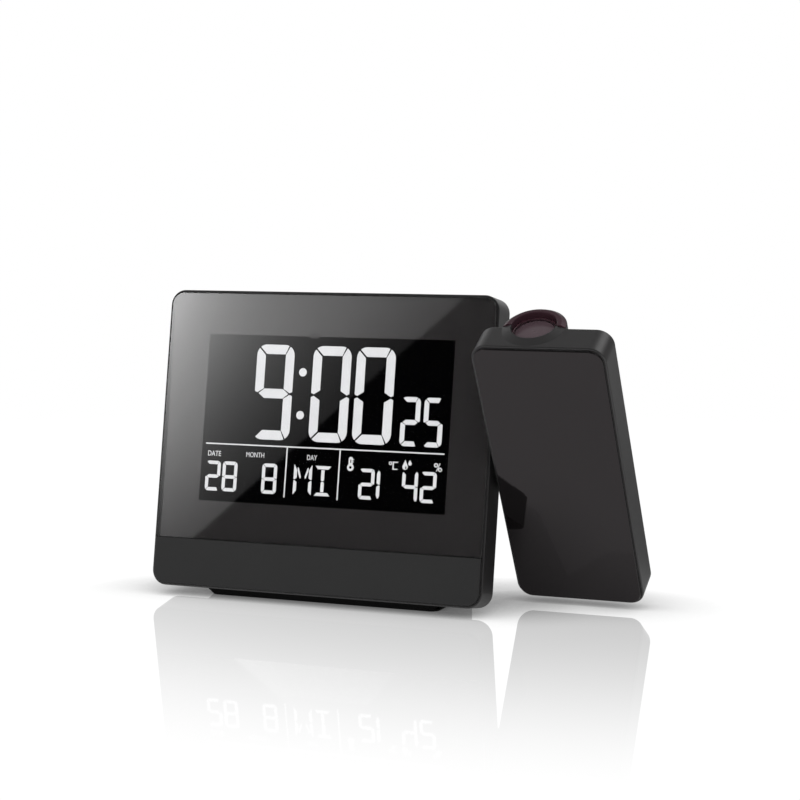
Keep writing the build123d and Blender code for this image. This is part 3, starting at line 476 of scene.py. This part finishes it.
# ------------------------------------------------------------------ acrylic window
def window_plate(name):
    """The smoked window: rounded top corners, a rolled front edge, and a fine chamfer along the seam."""
    X, T, Rc, seam = 63.0, 106.3, 4.6, 16.56
    verts, faces, index = [], [], []

    def ring(inset, d, low):
        r = Rc - inset
        pts = [(-X + inset, low)] + [(x, v) for x, v in arc(-X + Rc, T - Rc, r, 180, 90, 14)] + [(x, v) for x, v in arc(X - Rc, T - Rc, r, 90, 0, 14)] + [(X - inset, low)]
        k = len(verts)
        verts.extend((x, d, v) for x, v in pts)
        return list(range(k, k + len(pts)))

    f = 0.3
    steps = 5
    rings = []
    for i in range(steps + 1):
        a = math.radians(90.0 * i / steps)
        inset, d = f * (1 - math.sin(a)), f * (1 - math.cos(a))
        rings.append(ring(inset, d, seam + max(0.0, 0.05 - d)))
    rings.append(ring(0.0, 1.97, seam))
    faces.append(rings[0][::-1]); index.append(0)
    for a, b in zip(rings, rings[1:]):
        for i in range(len(a) - 1):
            faces.append([a[i], a[i + 1], b[i + 1], b[i]]); index.append(0)
        faces.append([a[-1], a[0], b[0], b[-1]]); index.append(0)
    faces.append(rings[-1]); index.append(1)
    o = make(name, verts, faces, CLOCK, "clock", [acrylic, acrylic_back], index)
    return o


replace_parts(window_plate("acrylic_window"), "front_window")



def bead(name, x0, x1, v0, v1, r, matrix, body, width=0.17, gap=0.02, front=0.66, back=2.1):
    """A narrow raised bead in the groove round a plate, with a rounded crown."""
    verts, faces = [], []
    section = ((0.0, back), (0.0, front + 0.05), (0.03, front), (width - 0.03, front), (width, front + 0.05), (width, back))
    n = 0
    for off, d in section:
        e = gap + off
        R = r + e
        loop = arc(x1 - r, v1 - r, R, 0, 90, 12) + arc(x0 + r, v1 - r, R, 90, 180, 12) + arc(x0 + r, v0 + r, R, 180, 270, 12) + arc(x1 - r, v0 + r, R, 270, 360, 12)
        n = len(loop)
        verts += [(x, d, v) for x, v in loop]
    m = len(section)
    for k in range(m):
        for i in range(n):
            a, b = k * n + i, k * n + (i + 1) % n
            c, d = ((k + 1) % m) * n + (i + 1) % n, ((k + 1) % m) * n + i
            faces.append((a, d, c, b))
    return make(name, verts, faces, matrix, body, [M["case_black"]])


bead("clock_groove_bead", -63.0, 63.0, 0.0, 106.3, 4.6, CLOCK, "clock")
bead("arm_groove_bead", 66.0, 110.5, 0.7, 106.3, 4.6, ARM, "projector")


# ------------------------------------------------------------------ stage: floor, world, light
floor_mat = bpy.data.materials.new("floor")
floor_mat.use_nodes = True
nt = floor_mat.node_tree
nt.nodes.clear()
W = nt.nodes.new


def wmath(op, a, b=None, c=None):
    n = W("ShaderNodeMath")
    n.operation = op
    for i, x in enumerate((a, b, c)):
        if x is None:
            continue
        if isinstance(x, (int, float)):
            n.inputs[i].default_value = x
        else:
            nt.links.new(x, n.inputs[i])
    return n.outputs[0]


out, mix, em, gls, tc, xyz = W("ShaderNodeOutputMaterial"), W("ShaderNodeMixShader"), W("ShaderNodeEmission"), W("ShaderNodeBsdfGlossy"), W("ShaderNodeTexCoord"), W("ShaderNodeSeparateXYZ")
gls.inputs["Roughness"].default_value = 0.02
nt.links.new(em.outputs[0], mix.inputs[1])
nt.links.new(gls.outputs[0], mix.inputs[2])
nt.links.new(mix.outputs[0], out.inputs[0])
nt.links.new(tc.outputs["Object"], xyz.inputs[0])
# the mirror image in the table fades away from the object
side = wmath("MULTIPLY", wmath("SUBTRACT", xyz.outputs[0], 0.0778), 1 / 0.227)
t = wmath("MULTIPLY_ADD", wmath("MAXIMUM", wmath("MULTIPLY", xyz.outputs[1], -1.0), wmath("MULTIPLY", xyz.outputs[1], 3.0)), 1 / 0.0711, -1.8)
t = wmath("EXPONENT", wmath("MULTIPLY_ADD", side, side, t))
mirror = wmath("MULTIPLY", wmath("EXPONENT", wmath("MULTIPLY", t, -1.0)), 0.515)
nt.links.new(mirror, mix.inputs[0])
# soft contact shadows, lit from the front
ao = W("ShaderNodeAmbientOcclusion")
ao.samples = 12
# it reaches further in the gap between the clock and the arm
gap = wmath("MULTIPLY", wmath("SUBTRACT", xyz.outputs[0], 0.068), 1 / 0.02)
gap = wmath("EXPONENT", wmath("MULTIPLY", wmath("MULTIPLY", gap, gap), -1.0))
nt.links.new(wmath("MULTIPLY_ADD", gap, 0.02, 0.032), ao.inputs["Distance"])
lean = W("ShaderNodeCombineXYZ")
lean.inputs[0].default_value, lean.inputs[1].default_value, lean.inputs[2].default_value = 0.2, -0.77, 0.6
nt.links.new(lean.outputs[0], ao.inputs["Normal"])
shade = wmath("POWER", ao.outputs["AO"], 1.6)
# rough walls see less of the floor behind them
seen = W("ShaderNodeLightPath")
behind = W("ShaderNodeMapRange")
behind.interpolation_type = "SMOOTHSTEP"
for k, v in (("From Min", -0.02), ("From Max", 0.12), ("To Min", 0.0), ("To Max", 0.78)):
    behind.inputs[k].default_value = v
nt.links.new(xyz.outputs[1], behind.inputs["Value"])
dim = wmath("SUBTRACT", 1.0, wmath("MULTIPLY", seen.outputs["Is Glossy Ray"], behind.outputs["Result"]))
nt.links.new(wmath("MULTIPLY", wmath("MULTIPLY", shade, dim), 1.03), em.inputs["Strength"])
nt.links.new(shade, gls.inputs["Color"])

bm = bmesh.new()
bmesh.ops.create_circle(bm, cap_ends=True, segments=96, radius=0.64)
me = bpy.data.meshes.new("floor")
bm.to_mesh(me)
bm.free()
me.materials.append(floor_mat)
floor = bpy.data.objects.new("floor", me)
floor.location = (0.0, 0.0, -0.00005)
scene.collection.objects.link(floor)

world = bpy.data.worlds.new("studio")
scene.world = world
world.use_nodes = True
nt = world.node_tree
nt.nodes.clear()
W = nt.nodes.new
AMBIENT = 1.24


def step(x, lo, hi, a=0.0, b=1.0):
    n = W("ShaderNodeMapRange")
    n.interpolation_type = "SMOOTHSTEP"
    for k, v in (("From Min", lo), ("From Max", hi), ("To Min", a), ("To Max", b)):
        n.inputs[k].default_value = v
    nt.links.new(x, n.inputs["Value"])
    return n.outputs["Result"]


tc = W("ShaderNodeTexCoord")
sep = W("ShaderNodeSeparateXYZ")
nt.links.new(tc.outputs["Generated"], sep.inputs[0])
dx, dy, dz = sep.outputs
# what glossy surfaces mirror: a white cyclorama low behind, greyer to the right and above, dark in front
back = step(dy, 0.0, 0.45)
low = step(dz, 0.62, 0.3)
right = step(dx, -0.02, 0.3, 1.0, 0.245)
cyc = wmath("MULTIPLY", wmath("MULTIPLY", back, low), right)
top = wmath("MULTIPLY", step(dz, 0.25, 0.75, 0.0, 0.34), step(dy, -0.8, 0.05, 0.15, 1.0))
sides = wmath("MULTIPLY", step(wmath("ABSOLUTE", dx), 0.55, 0.95, 0.0, 0.32), step(dz, 0.8, 0.2))
gl = wmath("MAXIMUM", wmath("MAXIMUM", cyc, top), sides)
for aim, edge, power in (((0.46, 0.41, 0.77), 0.92, 1.8), ((-0.64, 0.56, 0.52), 0.93, 0.45)):
    dot = W("ShaderNodeVectorMath")
    dot.operation = "DOT_PRODUCT"
    nt.links.new(tc.outputs["Generated"], dot.inputs[0])
    dot.inputs[1].default_value = Vector(aim).normalized()
    gl = wmath("ADD", gl, step(dot.outputs["Value"], edge, 0.99, 0.0, power))
lp = W("ShaderNodeLightPath")
bg_cam, bg_dif, bg_gls = W("ShaderNodeBackground"), W("ShaderNodeBackground"), W("ShaderNodeBackground")
bg_cam.inputs["Strength"].default_value = 1.0
for b in (bg_cam, bg_dif, bg_gls):
    b.inputs["Color"].default_value = (1, 1, 1, 1)
nt.links.new(gl, bg_gls.inputs["Strength"])
nt.links.new(wmath("MULTIPLY_ADD", dy, -0.7 * AMBIENT, AMBIENT), bg_dif.inputs["Strength"])
m1, m2 = W("ShaderNodeMixShader"), W("ShaderNodeMixShader")
nt.links.new(lp.outputs["Is Glossy Ray"], m1.inputs[0])
nt.links.new(bg_dif.outputs[0], m1.inputs[1])
nt.links.new(bg_gls.outputs[0], m1.inputs[2])
nt.links.new(lp.outputs["Is Camera Ray"], m2.inputs[0])
nt.links.new(m1.outputs[0], m2.inputs[1])
nt.links.new(bg_cam.outputs[0], m2.inputs[2])
wo = W("ShaderNodeOutputWorld")
nt.links.new(m2.outputs[0], wo.inputs[0])
world.cycles.sampling_method = "NONE"


# A soft card hangs to the front left. Its mirror image lies across the window, cut off along one straight edge. What is
# seen in the film behind the acrylic has passed through it, and falls off more slowly than the image in the outer face.
def clock_point(u, v):
    return Vector((u, FRONT_Y + v * sl, EDGE_Z + v * cl))


NORMAL = Vector((0, -cl, sl))


CARD_N = Vector((0.44, 0.87, -0.2)).normalized()
CARD_O = Vector((0, -20, 65)) - CARD_N * 900.0


def mirrored(u, v):
    """Where the eye, looking at this point of the window, meets the card's plane by reflection."""
    P = clock_point(u, v)
    k = (P - EYE).normalized()
    r = k - 2 * k.dot(NORMAL) * NORMAL
    return P + r * ((CARD_O - P).dot(CARD_N) / r.dot(CARD_N))


p1, p2 = Vector((50.5, 105.9)), Vector((-47.5, 17.2))
run, length = (p1 - p2).normalized(), (p1 - p2).length
out = Vector((-run.y, run.x))
S, T = 24, 12
verts, uvs, faces = [], [], []
for j in range(T + 1):
    for i in range(S + 1):
        w = p2 + run * (-0.22 * length + 1.44 * length * i / S) + out * (118.0 * j / T)
        verts.append(mirrored(w.x, w.y) / 1000)
        uvs.append(((w.x + 61.0) / 100, (105.5 - w.y) / 100))
for j in range(T):
    for i in range(S):
        a = j * (S + 1) + i
        faces.append((a, a + 1, a + S + 2, a + S + 1))
me = bpy.data.meshes.new("light_card")
me.from_pydata(verts, [], faces)
layer = me.uv_layers.new(name="UVMap")
for lp in me.loops:
    layer.data[lp.index].uv = uvs[lp.vertex_index]
card = bpy.data.objects.new("light_card", me)
scene.collection.objects.link(card)
m = bpy.data.materials.new("light_card")
m.use_nodes = True
nt = m.node_tree
nt.nodes.clear()
W = nt.nodes.new
outn, em, tc, sp, lp = W("ShaderNodeOutputMaterial"), W("ShaderNodeEmission"), W("ShaderNodeTexCoord"), W("ShaderNodeSeparateXYZ"), W("ShaderNodeLightPath")
nt.links.new(em.outputs[0], outn.inputs[0])
nt.links.new(tc.outputs["UV"], sp.inputs[0])
U, V = wmath("MAXIMUM", sp.outputs[0], -0.04), wmath("MAXIMUM", sp.outputs[1], -0.02)
UU, VV, UV = wmath("MULTIPLY", U, U), wmath("MULTIPLY", V, V), wmath("MULTIPLY", U, V)


def glow(fit, gain):
    """A smooth fall-off: the exponential of a quadratic in the two coordinates."""
    e = wmath("MULTIPLY_ADD", U, fit[1], fit[0])
    for q, k in ((V, fit[2]), (UU, fit[3]), (VV, fit[4]), (UV, fit[5])):
        e = wmath("MULTIPLY_ADD", q, k, e)
    return wmath("MULTIPLY", wmath("EXPONENT", e), gain)


near = glow((-0.81, -3.84, -1.55, 0.0, -1.67, -0.04), 12.7)
wide = glow((-4.09, 4.46, 5.08, -3.79, -4.88, -7.67), 26.0)
through = wmath("GREATER_THAN", lp.outputs["Transparent Depth"], 0.5)
nt.links.new(wmath("ADD", wmath("MULTIPLY", wide, through), wmath("MULTIPLY", near, wmath("SUBTRACT", 1.0, through))), em.inputs["Strength"])
me.materials.append(m)
card.visible_camera = card.visible_diffuse = card.visible_shadow = False
card.visible_transmission = card.visible_volume_scatter = False
